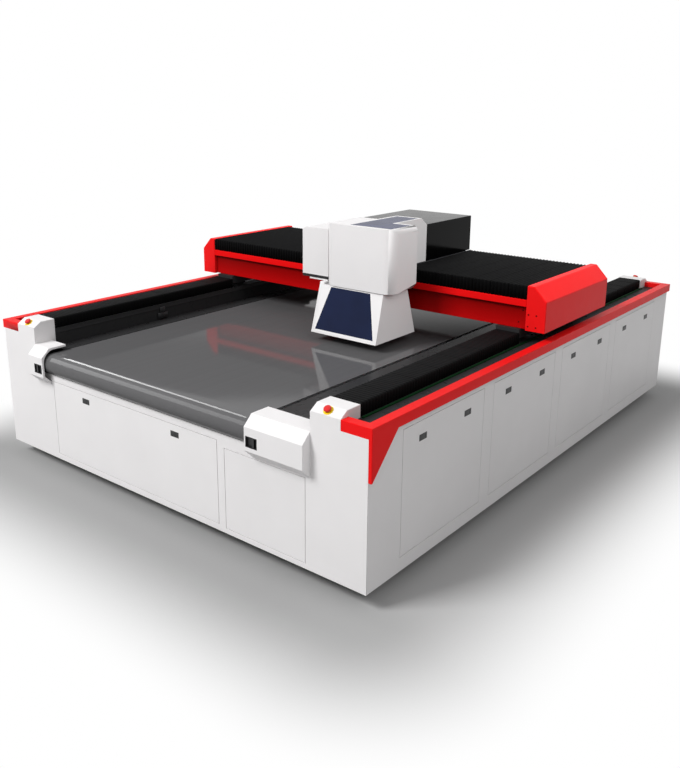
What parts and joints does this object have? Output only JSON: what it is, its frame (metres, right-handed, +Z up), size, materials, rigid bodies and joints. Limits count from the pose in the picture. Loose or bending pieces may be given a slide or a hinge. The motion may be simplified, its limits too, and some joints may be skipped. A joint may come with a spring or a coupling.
{
  "type": "conveyor_laser_cutter",
  "caption": "Large conveyor-bed laser cutter with a travelling gantry, a scanning head in a tapered shroud, pleated guide covers and corner stop buttons",
  "frame": {"origin": "floor centre under the cabinet", "axes": "+X to the right seen from the roller with the doors, +Y along the belt to the rear, +Z up"},
  "size_m": [3.04, 4.114, 1.578],
  "materials": {
    "white_paint": "satin white powder coat",
    "red_paint": "satin red powder coat",
    "frame_paint": "matt dark grey",
    "deck_paint": "satin black powder coat",
    "bellows_fabric": "pleated coated cloth",
    "belt_rubber": "fine mesh belt with a sheen",
    "strip_green": "green drive belt",
    "foot_rubber": "black rubber foot",
    "black_plastic": "moulded black",
    "laser_black": "satin black",
    "tinted_glass": "dark blue tinted sheet",
    "guide_steel": "ground steel",
    "table_aluminium": "plain aluminium",
    "stop_yellow": "yellow plate",
    "stop_red": "red mushroom head",
    "mirror_face": "polished mirror"
  },
  "bodies": {
    "base": {"base_frame": "frame_paint", "levelling_feet": "foot_rubber", "front_panel": "white_paint", "rear_panel": "white_paint", "left_panel": "white_paint", "right_panel": "white_paint", "front_doors": "white_paint", "left_doors": "white_paint", "right_doors": "white_paint", "door_latches": "black_plastic", "front_left_tower": "white_paint", "front_right_tower": "white_paint", "rear_towers": "white_paint", "left_trim_rail": "red_paint", "right_trim_rail": "red_paint", "front_left_roller_cover": "white_paint", "front_right_roller_cover": "white_paint", "rear_roller_covers": "white_paint", "cover_handles": "black_plastic", "conveyor_belt": "belt_rubber", "vacuum_table": "table_aluminium", "roller_bearings": "frame_paint", "conveyor_motor": "frame_paint", "left_deck": "deck_paint", "right_deck": "deck_paint", "long_guides": "guide_steel", "drive_strips": "strip_green", "stop_rings": "stop_yellow", "edge_sensor": "black_plastic", "control_cabinet": "table_aluminium", "y_bellows_front_left": "bellows_fabric", "y_bellows_front_right": "bellows_fabric", "y_bellows_rear_left": "bellows_fabric", "y_bellows_rear_right": "bellows_fabric"},
    "gantry": {"gantry_beam": "red_paint", "left_end_cap": "red_paint", "right_end_cap": "red_paint", "gantry_trucks": "frame_paint", "cross_guides": "guide_steel", "gantry_motors": "laser_black", "x_bellows_left": "bellows_fabric", "x_bellows_right": "bellows_fabric"},
    "head": {"head_carriage": "frame_paint", "head_main_cover": "white_paint", "head_front_cover": "white_paint", "roof_window": "tinted_glass", "shroud": "white_paint", "shroud_window": "tinted_glass", "dust_strip": "black_plastic", "laser_housing": "laser_black", "galvo_mount": "frame_paint", "scan_lens": "laser_black"},
    "front_roller_body": {"front_roller": "guide_steel"},
    "rear_roller_body": {"rear_roller": "guide_steel"},
    "mirror_x_body": {"galvo_mirror_x": "mirror_face"},
    "mirror_y_body": {"galvo_mirror_y": "mirror_face"},
    "stop_front_left_body": {"stop_button_front_left": "stop_red"},
    "stop_front_right_body": {"stop_button_front_right": "stop_red"},
    "stop_rear_left_body": {"stop_button_rear_left": "stop_red"},
    "stop_rear_right_body": {"stop_button_rear_right": "stop_red"}
  },
  "joints": [
    {"name": "gantry_travel", "type": "slide", "parent": "base", "child": "gantry", "axis": [0, 1, 0], "range_m": [-1.05, 0.85], "deforming": ["y_bellows_front_left", "y_bellows_front_right", "y_bellows_rear_left", "y_bellows_rear_right"]},
    {"name": "head_travel", "type": "slide", "parent": "gantry", "child": "head", "axis": [1, 0, 0], "range_m": [-1.02, 0.42], "deforming": ["x_bellows_left", "x_bellows_right"]},
    {"name": "front_roller_turn", "type": "hinge", "parent": "base", "child": "front_roller_body", "pos_m": [0, -1.969, 0.7267], "axis": [1, 0, 0], "continuous": true},
    {"name": "rear_roller_turn", "type": "hinge", "parent": "base", "child": "rear_roller_body", "pos_m": [0, 1.969, 0.7267], "axis": [1, 0, 0], "continuous": true},
    {"name": "galvo_x_turn", "type": "hinge", "parent": "head", "child": "mirror_x_body", "pos_m": [0.309, -0.4625, 1.28], "axis": [1, 0, 0], "range_deg": [-12, 12]},
    {"name": "galvo_y_turn", "type": "hinge", "parent": "head", "child": "mirror_y_body", "pos_m": [0.309, -0.4625, 1.345], "axis": [0, 1, 0], "range_deg": [-12, 12]},
    {"name": "stop_front_left_press", "type": "slide", "parent": "base", "child": "stop_front_left_body", "axis": [0, -0.5433, 0.8396], "range_m": [-0.005, 0]},
    {"name": "stop_front_right_press", "type": "slide", "parent": "base", "child": "stop_front_right_body", "axis": [0, -0.5433, 0.8396], "range_m": [-0.005, 0]},
    {"name": "stop_rear_left_press", "type": "slide", "parent": "base", "child": "stop_rear_left_body", "axis": [0, 0.5433, 0.8396], "range_m": [-0.005, 0]},
    {"name": "stop_rear_right_press", "type": "slide", "parent": "base", "child": "stop_rear_right_body", "axis": [0, 0.5433, 0.8396], "range_m": [-0.005, 0]}
  ],
  "couplings": [
    {"joint": "rear_roller_turn", "follows": "front_roller_turn", "ratio": 1}
  ]
}
